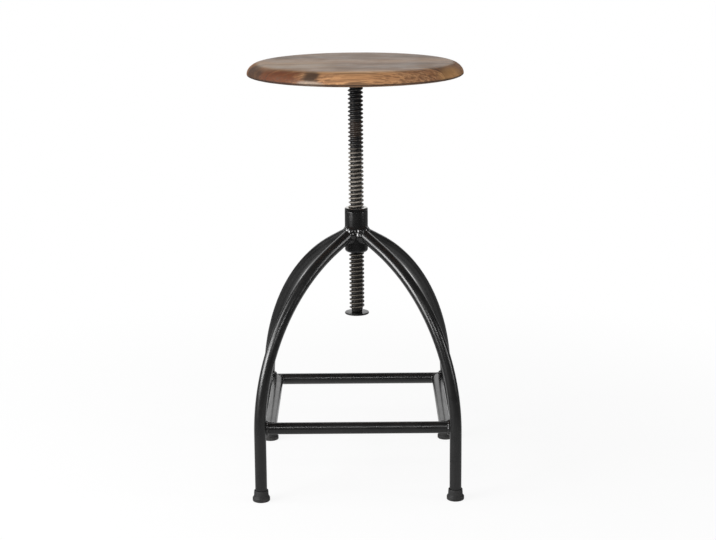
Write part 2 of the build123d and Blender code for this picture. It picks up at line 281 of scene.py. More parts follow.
def leg_tube(angle, steps=56, straight_rings=7, bend_rings=72, drop_rings=9):
    """A round section carried down the leg's centreline: a straight run at the slope, an arc to the
    vertical, and a straight drop. Each ring stands square to the centreline; the first is notched."""
    out, aside, up = leg_frame(angle)
    round_leg = np.linspace(0, 2 * pi, steps, endpoint=False)
    ring = np.ones(steps)
    start = notch(tube_radius, hub_radius - leg_sunk, round_leg)
    share = np.linspace(0, 1, straight_rings, endpoint=False)[:, None]
    run = start + share * (leg_straight - start)
    bend = np.linspace(leg_slope, pi / 2, bend_rings)[:, None]
    bend_out = leg_straight * cos(leg_slope) + leg_bend * (np.sin(bend) - sin(leg_slope))
    bend_up = leg_top - leg_straight * sin(leg_slope) - leg_bend * (cos(leg_slope) - np.cos(bend))
    drop = np.linspace(leg_bend_height, leg_end, drop_rings + 1)[1:, None]
    reach = np.concatenate([run * cos(leg_slope), bend_out * ring, np.full((drop_rings, steps), leg_reach)])
    height = np.concatenate([leg_top - run * sin(leg_slope), bend_up * ring, drop * ring])
    lean = np.concatenate([
        np.full((straight_rings, 1), leg_slope),
        bend,
        np.full((drop_rings, 1), pi / 2),
    ])
    reach = reach + tube_radius * np.sin(round_leg) * np.sin(lean)
    height = height + tube_radius * np.sin(round_leg) * np.cos(lean)
    across = np.broadcast_to(tube_radius * np.cos(round_leg), reach.shape)
    return reach[..., None] * out + across[..., None] * aside + height[..., None] * up


for corner, angle in corners.items():
    leg = skin(f"leg_{corner}_tube", leg_tube(angle))
    fit(leg, "frame", "frame_paint", frame_paint, f"leg_{corner}")


# Hub welds: a hand-laid fillet bead round the root of each leg, painted over.
# The overlapping scallops and the uneven width come from the welder's pauses.
hub_bead = 0.0040
hub_ripples = 7
hub_ripple_depth = 0.20
hub_bead_flat = 1.8
bead_paint = black_paint("bead_paint", 0.19, 1.0)


def bead(path, outward, width, ripples, seed, closed=True, depth=0.14, flat=1.0, steps=16):
    """A section carried along a seam: its size is width times scallops and slow swells,
    w (1 - d + d |cos(n t / 2)| + slow sines), tapered to the ends where the seam is open.
    The section is an ellipse, flat times as wide across the corner as it stands out of it."""
    count = len(path)
    t = np.linspace(0, 2 * pi, count, endpoint=not closed)
    if closed:
        along = np.roll(path, -1, 0) - np.roll(path, 1, 0)
    else:
        along = np.gradient(path, axis=0)
    along /= np.linalg.norm(along, axis=1, keepdims=True)
    outward = outward - np.einsum("ij,ij->i", outward, along)[:, None] * along
    outward /= np.linalg.norm(outward, axis=1, keepdims=True)
    aside = np.cross(along, outward)
    swell = 0.08 * np.sin(2 * t + seed) + 0.06 * np.sin(5 * t + 2.3 * seed)
    size = width * (1 - depth + depth * np.abs(np.cos(ripples * t / 2 + seed)) + swell)
    if not closed:
        size *= np.sqrt(np.clip(1 - (t / pi - 1) ** 6, 0.02, 1))
    turn = np.linspace(0, 2 * pi, steps, endpoint=False)
    section = np.cos(turn)[None, :, None] * outward[:, None]
    section = section + flat * np.sin(turn)[None, :, None] * aside[:, None]
    return path[:, None] + size[:, None, None] * section


def join(name, grids, ends, crease=60):
    """Several like surfaces as one piece."""
    parts = [skin(f"{name}_{i}", grid, ends, crease) for i, grid in enumerate(grids)]
    with bpy.context.temp_override(active_object=parts[0], selected_editable_objects=parts):
        bpy.ops.object.join()
    parts[0].name = name
    parts[0].data.name = name
    return parts[0]


def root_seam(angle, count=224):
    """The line where a leg's tube meets the sleeve, and the way out of that corner: the sum of the
    tube's and the sleeve's outward directions."""
    out, aside, up = leg_frame(angle)
    round_leg = np.linspace(0, 2 * pi, count, endpoint=False)
    run = notch(tube_radius, hub_radius, round_leg)
    across = tube_radius * np.cos(round_leg)
    above = tube_radius * np.sin(round_leg)
    reach = run * cos(leg_slope) + above * sin(leg_slope)
    height = leg_top - run * sin(leg_slope) + above * cos(leg_slope)
    seam = reach[:, None] * out + across[:, None] * aside + height[:, None] * up
    from_tube = np.outer(np.sin(round_leg) * sin(leg_slope), out) + np.outer(np.cos(round_leg), aside)
    from_tube += np.outer(np.sin(round_leg) * cos(leg_slope), up)
    from_hub = seam * (1, 1, 0) / hub_radius
    return seam, from_tube + from_hub


root_beads = [
    bead(*root_seam(angle), hub_bead, hub_ripples, k, depth=hub_ripple_depth, flat=hub_bead_flat)
    for k, angle in enumerate(corners.values())
]
hub_welds = join("hub_welds_beads", root_beads, "joined")
fit(hub_welds, "frame", "frame_paint", bead_paint, "hub_welds")


# Footrest: four straight tubes of the same stock, welded in a square just inside the legs.
# The front and back tubes run through and are closed at their ends; the side ones fit between.
rest_height = 0.116
rest_press = 0.0004
rest_half = leg_spacing / 2 - tube_radius * (1 + np.sqrt(0.5)) + rest_press
rest_edge = 0.0012
rest_sunk = 0.0003
scuff_from = rest_height + 0.004
scuff_to = rest_height + tube_radius
rest_paint = black_paint("footrest_paint", 0.28, scuff_low=scuff_from, scuff_high=scuff_to)


def end_tube(end, steps=56, rings=40):
    """A tube along X with rounded, closed ends: rings of radius r(s) at (x(s), y)."""
    half = rest_half + tube_radius
    nose = arc((tube_radius - rest_edge, half - rest_edge), rest_edge, 90, 0, 6)
    along = np.linspace(half - rest_edge, rest_edge - half, rings + 2)[1:-1]
    body = np.stack([np.full(rings, tube_radius), along], 1)
    profile = np.concatenate([nose, body, nose[::-1] * (1, -1)])
    turn = np.linspace(0, 2 * pi, steps, endpoint=False)
    y = end * rest_half + np.outer(profile[:, 0], np.cos(turn))
    z = rest_height + np.outer(profile[:, 0], np.sin(turn))
    return np.stack([np.repeat(profile[:, 1:], steps, 1), y, z], 2)


def side_tube(side, steps=56, rings=41):
    """A tube along Y whose ends are notched to the front and back tubes: each side line at angle a
    stops at rest_half - r |cos a| from the middle, and a little into them."""
    turn = np.linspace(0, 2 * pi, steps, endpoint=False)
    stop = rest_half - tube_radius * np.abs(np.cos(turn)) + rest_sunk
    y = np.linspace(-1, 1, rings)[:, None] * stop
    x = side * rest_half + tube_radius * np.cos(turn)
    z = rest_height + tube_radius * np.sin(turn)
    return np.stack([np.broadcast_to(x, y.shape), y, np.broadcast_to(z, y.shape)], 2)


rest_tubes = {"front": end_tube(-1), "back": end_tube(1), "left": side_tube(-1), "right": side_tube(1)}
for name, grid in rest_tubes.items():
    bar = skin(f"footrest_{name}_tube", grid)
    fit(bar, "frame", "frame_paint", rest_paint, f"footrest_{name}")


# Footrest welds: at each corner a bead round the notched joint and beads where the corner meets the leg.
# They are laid by hand, rippled, and painted over with the frame.
corner_bead = 0.0023
corner_ripples = 24
corner_soft = 0.01
corner_drop = 0.0015
corner_lean = 0.6
leg_bead = 0.0044
leg_ripples = 9
leg_bead_half = 0.0088
leg_bead_off = 0.0012
leg_bead_bow = 0.0008
crease_bead = 0.0040
crease_ripples = 8
crease_x = 0.1464
crease_sweep = 105
crease_lean = 0.5


def corner_seam(side, end, count=180):
    """The line where a side tube meets the front or back tube, rounded at its two sharp turns."""
    turn = np.linspace(0, 2 * pi, count, endpoint=False)
    back_off = tube_radius * np.sqrt(np.cos(turn) ** 2 + corner_soft)
    x = side * rest_half + tube_radius * np.cos(turn)
    y = end * (rest_half - back_off)
    z = rest_height + (tube_radius - corner_drop * np.sin(turn) ** 4) * np.sin(turn)
    outward = np.stack([np.cos(turn), np.full(count, -corner_lean * end), np.sin(turn)], 1)
    return np.stack([x, y, z], 1), outward


def touch_seam(angle, count=90):
    """The upright line on a leg that faces the footrest's corner, bowed outwards in the middle."""
    out, _, up = leg_frame(angle)
    s = np.linspace(-1, 1, count)
    reach = leg_reach - tube_radius - leg_bead_off + leg_bead_bow * s**2
    seam = reach[:, None] * out + (rest_height + leg_bead_half * s)[:, None] * up
    return seam, np.repeat(-out[None], count, 0)


def crease_seam(side, end, count=70):
    """The line over the front or back tube beside a leg: (x, rest_half + r cos a, r sin a)."""
    turn = np.radians(np.linspace(-crease_sweep, crease_sweep, count))
    y = end * (rest_half + tube_radius * np.cos(turn))
    z = rest_height + tube_radius * np.sin(turn)
    outward = np.stack([np.full(count, -crease_lean * side), end * np.cos(turn), np.sin(turn)], 1)
    return np.stack([np.full(count, side * crease_x), y, z], 1), outward


rest_corners = [(side, end) for side in (-1, 1) for end in (-1, 1)]
corner_beads = [
    bead(*corner_seam(side, end), corner_bead, corner_ripples, side + 2 * end)
    for side, end in rest_corners
]
leg_beads = [
    bead(*touch_seam(angle), leg_bead, leg_ripples, k, closed=False)
    for k, angle in enumerate(corners.values())
]
leg_beads += [
    bead(*crease_seam(side, end), crease_bead, crease_ripples, 3 * side + end, closed=False)
    for side, end in rest_corners
]
footrest_welds = join("footrest_welds_corner", corner_beads, "joined")
fit(footrest_welds, "frame", "frame_paint", bead_paint, "footrest_welds")
leg_welds = join("footrest_welds_leg", leg_beads, "capped")
fit(leg_welds, "frame", "frame_paint", bead_paint, "footrest_welds")


# Feet: moulded rubber cups pushed onto the legs, tapered, and flared to a rounded base.
# The rubber is dull and grey with floor dust round the base.
foot_height = 0.018
foot_top = 0.0114
foot_waist = 0.0119
foot_base = 0.0140
foot_mouth = 0.0008
foot_wall = 0.0009
foot_cove = 0.0019
foot_cove_height = 0.0092
foot_flare = 0.0020
foot_flare_height = 0.0054
foot_heel = 0.0018
foot_taper = [(foot_top + 0.0002, 0.0135), (foot_waist - 0.0001, 0.0102)]
foot_underside = [(0.0090, 0.0), (0.0085, 0.0006), (0.0015, 0.0006)]
foot_dusty = 0.009
rubber_dark = (0.0085, 0.0085, 0.009, 1)
rubber_grey = (0.021, 0.0205, 0.020, 1)
floor_dust = (0.085, 0.08, 0.074, 1)
rubber = Finish(bpy.data.materials.new("foot_rubber"))
grime = rubber.noise(rubber.place, 90.0, 5.0, 0.65)
near_floor = rubber.ramp(rubber.axis("Z"), 0.0, foot_dusty, 1.0, 0.15)
rubber_colour = rubber.mix(grime, rubber_dark, rubber_grey)
dust = rubber.math("MULTIPLY", near_floor, rubber.ramp(grime, 0.35, 0.8))
rubber_colour = rubber.over(rubber_colour, dust, 0.5, floor_dust)
rubber_grain = rubber.bump(rubber.noise(rubber.place, 900.0, 3.0), 0.00012, 0.4)
rubber.set(
    Base_Color=rubber_colour,
    Roughness=rubber.ramp(grime, 0.2, 0.8, 0.5, 0.72),
    Normal=rubber_grain,
)
foot_profile = np.concatenate([
    arc((tube_radius + foot_wall, foot_height - foot_wall), foot_mouth, 180, 90, 5),
    arc((foot_top - foot_mouth, foot_height - foot_mouth), foot_mouth, 90, 4, 6),
    foot_taper,
    arc((foot_waist + foot_cove, foot_cove_height), foot_cove, 180, 240, 8),
    arc((foot_base - foot_flare, foot_flare_height), foot_flare, 50, 0, 8),
    arc((foot_base - foot_heel, foot_heel), foot_heel, 0, -90, 9),
    foot_underside,
])
for corner, angle in corners.items():
    foot_x, foot_y, _ = leg_reach * leg_frame(angle)[0]
    foot = skin(f"foot_{corner}_cup", turned(foot_profile, 72, foot_x, foot_y), crease=55)
    fit(foot, "frame", "foot_rubber", rubber.block, f"foot_{corner}")


# Spindle: a steel screw with a coarse deep V thread, a plain shoulder above and a short tail below.
# It was sprayed black with the frame; the nut has rubbed the crests bare over the height it is used at.
thread_pitch = 0.0068
thread_turns = 55
thread_crest = 0.0125
thread_root = 0.0090
thread_soft = 0.09
thread_trim = 0.002
crest_half = 0.0007
base_half = 0.0027
shoulder_radius = 0.0120
shoulder_length = 0.0089
shoulder_bevel = 0.0005
tail_bevel = 0.0007
spigot_radius = 0.0080
centre_hole = 0.0010
ring_gap = 0.0001
plate_thickness = 0.0050
spindle_low, spindle_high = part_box("screw_spindle")
plate_bottom = spindle_high.z - plate_thickness
thread_top = plate_bottom - shoulder_length
thread_bottom = thread_top - thread_turns * thread_pitch
rub_starts = (0.262, 0.285)
rub_ends = (0.552, 0.530)
rub_strong = (0.385, 0.430)
rub_dull = (0.375, 0.420)
brown_starts = (0.552, 0.566)
brown_ends = (0.604, 0.588)
spindle_black = (0.0065, 0.0066, 0.0072, 1)
spindle_dusty = (0.0145, 0.0142, 0.0145, 1)
spindle_brown = (0.036, 0.025, 0.019, 1)
thread_grime = (0.011, 0.009, 0.007, 1)
steel_dark = (0.165, 0.147, 0.125, 1)
steel_pale = (0.27, 0.247, 0.218, 1)
steel_dull = (0.080, 0.069, 0.054, 1)


def thread_height(z, turn):
    """How far a point at height z and angle t stands between root (0) and crest (1). The distance
    along the axis to the nearest crest line is d = p |frac(z / p - t / 2 pi + 1/2) - 1/2|, and the
    height falls in a line from 1 at the crest's edge to 0 at the base's edge, softened at both."""
    phase = (z - thread_bottom) / thread_pitch - turn / (2 * pi)
    off_crest = thread_pitch * np.abs((phase + 0.5) % 1.0 - 0.5)
    slope = (base_half - off_crest) / (base_half - crest_half)
    rise = 0.5 * (slope + np.sqrt(slope**2 + thread_soft**2))
    eased = 0.5 * (1 + rise - np.sqrt((1 - rise) ** 2 + thread_soft**2))
    return np.clip(eased - thread_trim, 0, 1)


def spindle_grid(steps=72, rows_per_turn=14):
    """Radius over height and angle: root + depth x thread height, run in from the root over the first
    half turn, with the plain tail, shoulder and spigot as rings beyond. Gives the points and how far
    each stands up to the crest."""
    turn = np.linspace(0, 2 * pi, steps, endpoint=False)
    z = np.linspace(thread_bottom, thread_top, thread_turns * rows_per_turn + 1)
    run_in = np.clip((z - thread_bottom) / (0.5 * thread_pitch), 0, 1)[:, None]
    height = thread_height(z[:, None], turn) * run_in
    radius = thread_root + (thread_crest - thread_root) * height
    tail = np.array([
        (centre_hole, spindle_low.z),
        (thread_root - tail_bevel, spindle_low.z),
        (thread_root, spindle_low.z + tail_bevel),
    ])
    head = np.array([
        (shoulder_radius - shoulder_bevel, thread_top + ring_gap),
        (shoulder_radius, thread_top + ring_gap + shoulder_bevel),
        (shoulder_radius, plate_bottom),
        (spigot_radius, plate_bottom + ring_gap),
        (spigot_radius, spindle_high.z),
        (centre_hole, spindle_high.z),
    ])
    radius = np.concatenate([np.repeat(tail[:, :1], steps, 1), radius, np.repeat(head[:, :1], steps, 1)])
    z = np.concatenate([tail[:, 1], z, head[:, 1]])[:, None]
    points = [radius * np.cos(turn), radius * np.sin(turn), np.broadcast_to(z, radius.shape)]
    crest = np.zeros(radius.shape)
    crest[len(tail):-len(head)] = height
    return np.stack(points, 2), crest


steel = Finish(bpy.data.materials.new("spindle_steel"))
crest_mark = steel.node("ShaderNodeAttribute", attribute_name="crest").outputs["Fac"]
flecks = steel.noise(steel.place, 330.0, 5.0, 0.7)
blotch = steel.noise(steel.place, 60.0, 4.0, 0.6)
rub_edge = steel.math("ADD", steel.axis("Z"), steel.ramp(blotch, 0.2, 0.8, -0.020, 0.020, False))
rubbed = steel.math("MULTIPLY", steel.ramp(rub_edge, *rub_starts), steel.ramp(rub_edge, *rub_ends))
strong = steel.math("MULTIPLY", steel.ramp(rub_edge, *rub_strong, 0.42, 1.0), rubbed)
reach_down = steel.math("SUBTRACT", 0.86, steel.math("MULTIPLY", strong, 0.34))
bare = steel.math("ADD", crest_mark, steel.ramp(flecks, 0.2, 0.8, -0.28, 0.28, False))
bare = steel.math("SUBTRACT", bare, reach_down)
bare = steel.math("MULTIPLY", steel.ramp(bare, 0.0, 0.16), rubbed)
touched = steel.math("ADD", crest_mark, steel.ramp(flecks, 0.25, 0.75, -0.3, 0.3, False))
touched = steel.ramp(touched, 0.92, 1.2)
bare = steel.math("MAXIMUM", bare, steel.math("MULTIPLY", touched, 0.5))
brown = steel.math("MULTIPLY", steel.ramp(rub_edge, *brown_starts), steel.ramp(rub_edge, *brown_ends))
paint_colour = steel.mix(blotch, spindle_black, spindle_dusty)
paint_colour = steel.over(paint_colour, brown, 0.7, spindle_brown)
grime_colour = steel.over(paint_colour, rubbed, 0.6, thread_grime)
bare_colour = steel.mix(steel.ramp(blotch, 0.3, 0.7), steel_dark, steel_pale)
bare_colour = steel.mix(steel.ramp(rub_edge, *rub_dull, 0.75, 0.0), bare_colour, steel_dull)
steel_rough = steel.ramp(blotch, 0.2, 0.8, 0.30, 0.46)
steel.set(
    Base_Color=steel.mix(bare, grime_colour, bare_colour),
    Metallic=steel.math("MULTIPLY", bare, 0.35),
    Roughness=steel.math("ADD", steel_rough, steel.math("MULTIPLY", bare, 0.1)),
    Normal=steel.bump(flecks, 0.00012, 0.5),
)
spindle_points, spindle_crest = spindle_grid()
spindle = skin("screw_spindle_thread", spindle_points, crease=70, crest=spindle_crest)
fit(spindle, "seat", "spindle_steel", steel.block, "screw_spindle")


# Stop washer and bolt: a loose turned steel disc, trapped under the spindle by a low-headed bolt.
# It meets the hub at the top of the travel. Its rim is rounded and painted black; the bolt is dull steel.
washer_low, washer_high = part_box("stop_washer")
washer_radius = washer_high.x
washer_hole = 0.0054
washer_round = 0.0010
tarnish_dark = (0.10, 0.095, 0.09, 1)
tarnish_pale = (0.27, 0.26, 0.245, 1)
fastener = Finish(bpy.data.materials.new("fastener_steel"))
tarnish = fastener.noise(fastener.place, 120.0, 5.0, 0.65)
fine = fastener.noise(fastener.place, 1400.0, 2.0)
fastener.set(
    Base_Color=fastener.mix(fastener.ramp(tarnish, 0.3, 0.7), tarnish_dark, tarnish_pale),
    Metallic=0.9,
    Roughness=fastener.ramp(tarnish, 0.25, 0.75, 0.34, 0.55),
    Normal=fastener.bump(fine, 0.00004, 0.5),
)
washer_profile = np.concatenate([
    [(washer_hole, washer_high.z), (washer_hole, washer_low.z)],
    arc((washer_radius - washer_round, washer_low.z + washer_round), washer_round, -90, 0, 7),
    arc((washer_radius - washer_round, washer_high.z - washer_round), washer_round, 0, 90, 7),
])
washer = skin("stop_washer_turned", turned(washer_profile), "joined")
fit(washer, "stop", "spindle_steel", hub_paint, "stop_washer")
coat(nodes["stop_bolt"], fastener.block)


# Seat plate and its weld: a painted steel disc, with the spindle's shoulder welded under it.
# The bead runs right round the shoulder in even scallops.
plate_bead = 0.0036
plate_ripples = 30
plate_bead_off = 0.0008
plate_bead_points = 300
weld_turn = np.linspace(0, 2 * pi, plate_bead_points, endpoint=False)
weld_out = np.stack([np.cos(weld_turn), np.sin(weld_turn), np.full(plate_bead_points, -1.0)], 1)
weld_path = weld_out * (shoulder_radius + plate_bead_off, shoulder_radius + plate_bead_off, 0)
weld_path[:, 2] = plate_bottom - plate_bead_off
weld_grid = bead(weld_path, weld_out, plate_bead, plate_ripples, 1.0)
plate_weld = skin("plate_weld_bead", weld_grid, "joined", 60)
fit(plate_weld, "seat", "frame_paint", bead_paint, "plate_weld")
coat(nodes["seat_plate"], black_paint("plate_paint", 0.3))


# Seat boards: five planks of a brown hardwood, glued edge to edge, then turned to a round seat with the
# top edge rounded well over. Waxed, and darkened where the grain is open; a dark band under the rim's
# widest line is painted shade with some stain, and the worn film on the top face carries a painted sheen at
# its edge.
# The front shows a knot over a bare patch, red wood at the left and gold in the middle.
seat_radius = 0.175
seat_round_width = 0.026
seat_round_drop = 0.018
seat_under = 0.012
seat_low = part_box("seat_board_1")[0].z
seat_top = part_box("seat_board_1")[1].z
seat_widest = seat_top - seat_round_drop
outline_shares = np.array([0.16, 0.46, 0.24, 0.14])
board_count = 5
board_width = 2 * seat_radius / board_count
board_ease = 0.00035
ease_steps = np.array([0.0, 0.12, 0.35, 0.65, 1.0])
rim_margin = 0.00002
sanded_flat = 0.00022
same_plane = 1e-6


def seat_outline(count=900):
    """Half of the seat's section, from the middle of the top round the rim to the middle of the
    underside: a flat, a quarter ellipse, a flatter quarter ellipse under the rim, and a flat.
    Returns a spacing value from 0 to 1 with radius, height and the outward slope at each."""
    quarter = np.linspace(0, pi / 2, count)
    straight = np.linspace(0, 1, count)
    flat = seat_radius - seat_round_width
    under = seat_radius - seat_under
    r = np.concatenate([
        flat * straight,
        flat + seat_round_width * np.sin(quarter),
        under + seat_under * np.cos(quarter),
        under * (1 - straight),
    ])
    z = np.concatenate([
        np.full(count, seat_top),
        seat_widest + seat_round_drop * np.cos(quarter),
        seat_widest - (seat_widest - seat_low) * np.sin(quarter),
        np.full(count, seat_low),
    ])
    starts = np.cumsum(outline_shares) - outline_shares
    spacing = (starts[:, None] + outline_shares[:, None] * straight).ravel()
    dr = np.gradient(r)
    dz = np.gradient(z)
    size = np.hypot(dr, dz) + 1e-12
    return spacing, r, z, -dz / size, dr / size


def board_grid(low, high, steps=56, rows=44):
    """The part of the seat between two upright planes. At each distance y from the middle, the
    section keeps the outline's points with radius r >= |y|, at x = +-sqrt(r^2 - y^2). The glued
    edges are eased by a small round, and the rim carries faint hand-sanded flats."""
    spacing, r, z, slope_r, slope_z = seat_outline()
    half = len(r) // 2
    share = np.linspace(0, 1, rows)
    first_board = low < same_plane - seat_radius
    last_board = high > seat_radius - same_plane
    if last_board:
        y = low + (seat_radius - rim_margin - low) * np.sin(share * pi / 2)
    elif first_board:
        y = high - (seat_radius - rim_margin + high) * np.sin((1 - share) * pi / 2)
    else:
        y = low + (high - low) * share
    if not first_board:
        y = np.concatenate([low + board_ease * ease_steps, y[1:]])
    if not last_board:
        y = np.concatenate([y[:-1], (high - board_ease * ease_steps)[::-1]])
    near = np.minimum(1.0 if first_board else y - low, 1.0 if last_board else high - y)
    into_ease = board_ease - np.clip(near, 0, board_ease)
    inset = board_ease - np.sqrt(np.clip(board_ease**2 - into_ease**2, 0, None))
    first = np.interp(np.abs(y), r[:half], spacing[:half])
    last = np.interp(np.abs(y), r[half:][::-1], spacing[half:][::-1])
    where = first[:, None] + (last - first)[:, None] * np.linspace(0, 1, steps)
    radius, height, out_r, out_z = (np.interp(where, spacing, line) for line in (r, z, slope_r, slope_z))
    y = np.broadcast_to(y[:, None], radius.shape)
    x = np.sqrt(np.clip(radius**2 - y**2, 0, None))
    around = np.arctan2(y, x)
    sides = []
    for side, turn in ((1, around), (-1, pi - around)):
        waves = 1 + np.sin(5 * turn + 0.7) * np.cos(13 * turn) + 0.5 * np.sin(29 * turn + 1.0)
        flats = sanded_flat * waves * np.clip(out_r, 0, 1) * np.clip(radius / seat_radius, 0, 1) ** 8
        dent = inset[:, None] + flats
        shrink = 1 - dent * out_r / np.maximum(radius, 1e-4)
        sides.append(np.stack([side * x * shrink, y, height - dent * out_z], 2))
    return np.concatenate([sides[0], sides[1][:, -2:0:-1]], 1)


wood = Finish(bpy.data.materials.new("seat_wood"))
heart = wood.node("ShaderNodeAttribute", attribute_name="heart").outputs["Vector"]
tone = wood.node("ShaderNodeAttribute", attribute_name="tone").outputs["Fac"]
plank = wood.vector("SUBTRACT", wood.place, heart)
wander = wood.noise(plank, (7, 26, 26), 3.0)
shift = wood.node("ShaderNodeCombineXYZ", {
    "Y": wood.ramp(wander, 0, 1, -0.006, 0.006, False),
    "Z": wood.ramp(wander, 0, 1, 0.006, -0.006, False),
}).outputs[0]
ring_place = wood.vector("ADD", wood.vector("MULTIPLY", plank, (0.05, 1, 1)), shift)
rings = wood.node(
    "ShaderNodeTexWave",
    {"Vector": ring_place, "Scale": 62.0, "Distortion": 1.6, "Detail": 2.0, "Detail Scale": 1.2},
    wave_type="RINGS",
    rings_direction="X",
    wave_profile="SAW",
).outputs["Fac"]
fibre = wood.noise(plank, (16, 700, 700), 4.0, 0.6)
pores = wood.ramp(wood.noise(plank, (70, 1500, 1500), 2.0), 0.60, 0.68)
streak = wood.noise(plank, (5, 44, 44), 4.0, 0.62, 0.4)
figure = wood.noise(plank, (24, 60, 60), 3.0, 0.55)
warmth = wood.math("ADD", wood.ramp(streak, 0.28, 0.72, 0.0, 1.0, False), tone)
warmth = wood.math("ADD", warmth, wood.ramp(figure, 0.3, 0.7, -0.14, 0.14, False))


def blot(x, y, z, wide, deep, tall, low=0.35, high=1.0):
    """1 inside a soft lump of wood at (x, y, z), 0 beyond it: the length of (place - centre) / size,
    made ragged by the wood's figure, is carried from low..high to 1..0."""
    offset = wood.vector("SUBTRACT", wood.place, (x, y, z))
    scaled = wood.vector("MULTIPLY", offset, (1 / wide, 1 / deep, 1 / tall))
    ragged = wood.math("ADD", wood.vector("LENGTH", scaled), wood.ramp(figure, 0.2, 0.8, -0.3, 0.3, False))
    return wood.ramp(ragged, low, high, 1.0, 0.0)


gold = blot(0.032, -0.165, seat_top - 0.010, 0.115, 0.045, 0.030)
worn_pale = blot(-0.090, -0.050, seat_top, 0.085, 0.085, 0.012)
red = blot(-0.130, -0.125, seat_top - 0.012, 0.080, 0.060, 0.022)
warmth = wood.math("ADD", warmth, wood.math("MULTIPLY", gold, 0.30))
warmth = wood.math("SUBTRACT", warmth, wood.math("MULTIPLY", red, 0.30))
brown_to_gold = [
    (0.0, (0.084, 0.034, 0.016, 1)),
    (0.3, (0.196, 0.086, 0.037, 1)),
    (0.55, (0.328, 0.158, 0.069, 1)),
    (0.8, (0.416, 0.217, 0.099, 1)),
    (1.0, (0.48, 0.268, 0.130, 1)),
]
stain = wood.node("ShaderNodeValToRGB", {"Fac": warmth})
stops = stain.color_ramp.elements
for position, _ in brown_to_gold[1:-1]:
    stops.new(position)
for stop, (_, shade) in zip(stops, brown_to_gold):
    stop.color = shade
timber = wood.mix(wood.ramp(rings, 0.35, 1.0, 0.0, 0.58), stain.outputs[0], (0.16, 0.066, 0.029, 1))
timber = wood.mix(wood.ramp(fibre, 0.3, 0.7, 0.30, 0.0), timber, (0.12, 0.052, 0.024, 1))
timber = wood.over(timber, pores, 0.55, (0.055, 0.025, 0.013, 1))
dark_grain = wood.ramp(wood.noise(plank, (2.6, 105, 105), 6.0, 0.66, 0.2), 0.54, 0.64)
timber = wood.over(timber, dark_grain, 0.42, (0.105, 0.058, 0.034, 1))
timber = wood.over(timber, gold, 0.34, (0.58, 0.300, 0.126, 1))
timber = wood.over(timber, red, 0.88, (0.100, 0.026, 0.0070, 1))
hair_grain = wood.ramp(wood.noise(plank, (13, 360, 360), 4.0, 0.62, 0.2), 0.48, 0.57)
timber = wood.over(timber, hair_grain, 0.52, (0.082, 0.036, 0.017, 1))
to_joint = wood.math("PINGPONG", wood.math("ADD", wood.axis("Y"), board_width / 2), board_width / 2)
glue_line = wood.ramp(to_joint, 0.0005, 0.0013, 1.0, 0.0)
timber = wood.over(timber, glue_line, 0.55, (0.045, 0.022, 0.012, 1))
knot = blot(-0.0700, -0.162, seat_top - 0.0060, 0.0205, 0.026, 0.0140, 0.50, 1.05)
timber = wood.over(timber, knot, 0.93, (0.040, 0.022, 0.013, 1))
bare_patch = blot(-0.0700, -0.160, seat_top - 0.0178, 0.0290, 0.030, 0.0060, 0.45, 1.05)
timber = wood.over(timber, bare_patch, 0.62, (0.36, 0.29, 0.23, 1))
flame = wood.ramp(wood.noise(plank, (7, 120, 260), 4.0, 0.6, 0.3), 0.48, 0.58)
flame_end = blot(0.092, -0.146, seat_top - 0.0080, 0.048, 0.045, 0.0110, 0.45, 1.1)
timber = wood.over(timber, wood.math("MULTIPLY", flame, flame_end), 0.46, (0.115, 0.042, 0.017, 1))
pale_end = blot(0.152, -0.080, seat_top - 0.0130, 0.040, 0.060, 0.0150, 0.35, 1.1)
timber = wood.over(timber, pale_end, 0.52, (0.44, 0.240, 0.088, 1))
dark_end = blot(-0.160, -0.062, seat_top - 0.0100, 0.024, 0.055, 0.0160, 0.40, 1.1)
timber = wood.over(timber, dark_end, 0.85, (0.046, 0.024, 0.014, 1))
timber = wood.over(timber, worn_pale, 0.26, (0.50, 0.335, 0.195, 1))
# Painted shade with some stain: a dark band from just above the rim's widest line down round the underside,
# weaker on the flat underside.
rim_shade_and_stain = wood.ramp(wood.axis("Z"), seat_widest + 0.0011, seat_widest - 0.0005)
underside = wood.ramp(wood.axis("Z"), seat_low + 0.0004, seat_low + 0.0040, 0.3, 1.0)
timber = wood.over(timber, wood.math("MULTIPLY", rim_shade_and_stain, underside), 0.90, (0.034, 0.020, 0.013, 1))
# A pale film over the top face that ends sharply where the round-over starts: worn wax, and partly a
# painted sheen that gives the top its crisp edge.
top_film_and_sheen = wood.ramp(wood.axis("Z"), seat_top - 0.0030, seat_top - 0.0006)
timber = wood.over(timber, top_film_and_sheen, 0.13, (0.36, 0.295, 0.13, 1))
wax = wood.noise(wood.place, 22.0, 4.0, 0.6)
dry_rim = wood.ramp(wood.axis("Z"), seat_top - 0.0005, seat_top - 0.0025, 0.0, 0.26)
wood_relief = wood.bump(fibre, 0.00022, 0.35)
wood_relief = wood.bump(pores, 0.00025, -0.35, wood_relief)
wood.set(
    Base_Color=timber,
    Roughness=wood.math("ADD", wood.ramp(wax, 0.25, 0.75, 0.35, 0.48), dry_rim),
    Specular_IOR_Level=0.28,
    Normal=wood_relief,
)

hearts = [
    (0.31, -0.185, seat_low - 0.045),
    (-0.44, -0.060, seat_low + 0.085),
    (0.12, 0.018, seat_low - 0.028),
    (0.77, 0.100, seat_low + 0.070),
    (-0.21, 0.170, seat_low - 0.050),
]
tones = [0.06, -0.22, 0.02, -0.30, -0.06]
for number, (board_heart, board_tone) in enumerate(zip(hearts, tones)):
    board_low = board_width * number - seat_radius
    grid = board_grid(board_low, board_low + board_width)
    board = skin(f"seat_board_{number + 1}_plank", grid, heart=board_heart, tone=board_tone)
    fit(board, "seat", "seat_wood", wood.block, f"seat_board_{number + 1}")


